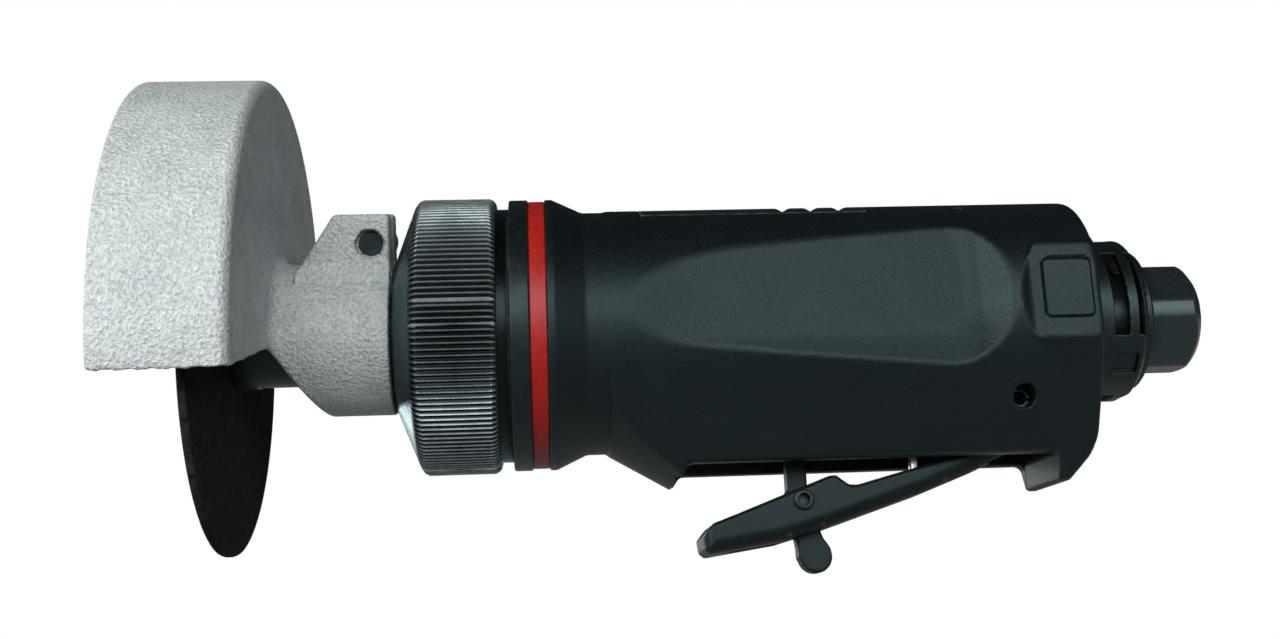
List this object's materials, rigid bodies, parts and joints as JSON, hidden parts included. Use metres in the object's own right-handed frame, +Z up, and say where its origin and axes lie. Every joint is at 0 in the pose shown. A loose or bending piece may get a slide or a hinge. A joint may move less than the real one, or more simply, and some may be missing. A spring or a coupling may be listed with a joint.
{
  "type": "pneumatic cut-off tool",
  "caption": "Hand-held air tool with an in-line vane motor, thin abrasive cutting wheel under a half-round cast guard, throttle lever with safety latch and rear exhaust.",
  "frame": {"origin": "centre of the mouth of the air inlet's threaded hole", "axes": "+X along the spindle, out of the air inlet; the wheel is at -X; +Z up, away from the lever"},
  "size_m": [0.1872, 0.0906, 0.0908],
  "materials": {
    "composite": "fine grained matte",
    "plate": "satin",
    "black_plastic": "satin",
    "black_metal": "satin black oxide",
    "red": "semi-gloss",
    "cast_aluminium": "as cast, pebbled",
    "abrasive": "coarse bonded grit",
    "dark_steel": "satin dark",
    "steel": "ground",
    "bright_steel": "polished",
    "brass": "turned",
    "rubber": "matte",
    "vane": "laminated"
  },
  "bodies": {
    "housing": {"housing": "composite", "top_plate": "plate", "lock_screw": "dark_steel", "inlet_bushing": "dark_steel", "inlet_seal": "rubber", "inlet_screen": "brass", "clamp_nut": "black_metal", "front_ring": "black_metal", "red_ring": "red", "motor_cylinder": "steel", "front_end_plate": "steel", "rear_end_plate": "steel", "locating_pin": "bright_steel", "front_bearing_outer": "bright_steel", "rear_bearing_outer": "bright_steel", "valve_bushing": "brass", "valve_spring": "steel", "lever_pin": "dark_steel"},
    "spindle": {"rotor": "steel", "rotor_vanes": "vane", "front_bearing_inner": "bright_steel", "front_bearing_balls": "bright_steel", "rear_bearing_inner": "bright_steel", "rear_bearing_balls": "bright_steel", "inner_flange": "dark_steel", "cutting_wheel": "abrasive", "outer_flange": "dark_steel", "wheel_screw": "dark_steel"},
    "guard": {"guard": "cast_aluminium", "clamp_screw": "dark_steel"},
    "deflector": {"exhaust_deflector": "black_plastic"},
    "lever": {"throttle_lever": "black_metal", "latch_pin": "dark_steel", "latch_spring": "steel"},
    "latch": {"safety_latch": "black_metal"},
    "valve": {"valve_stem": "bright_steel", "valve_ball": "bright_steel"}
  },
  "joints": [
    {"name": "wheel_spin", "type": "hinge", "parent": "housing", "child": "spindle", "pos_m": [0, 0, 0], "axis": [1, 0, 0], "continuous": true},
    {"name": "guard_swivel", "type": "hinge", "parent": "housing", "child": "guard", "pos_m": [0, 0, 0], "axis": [1, 0, 0], "continuous": true},
    {"name": "deflector_swivel", "type": "hinge", "parent": "housing", "child": "deflector", "pos_m": [0, 0, 0], "axis": [1, 0, 0], "continuous": true},
    {"name": "lever_squeeze", "type": "hinge", "parent": "housing", "child": "lever", "pos_m": [-0.0371, 0, -0.0163], "axis": [0, 1, 0], "range_deg": [0, 12], "stiffness_Nm_per_rad": 0.5, "springref_deg": -14.32},
    {"name": "latch_swing", "type": "hinge", "parent": "lever", "child": "latch", "pos_m": [-0.0751, 0, -0.0321], "axis": [0, 1, 0], "range_deg": [0, 95]},
    {"name": "valve_lift", "type": "slide", "parent": "housing", "child": "valve", "axis": [0, 0, 1], "range_m": [0, 0.0042], "deforming": ["valve_spring"]}
  ],
  "couplings": [
    {"joint": "latch_swing", "follows": "lever_squeeze", "ratio": 7},
    {"joint": "valve_lift", "follows": "lever_squeeze", "m_per_rad": 0.019}
  ]
}
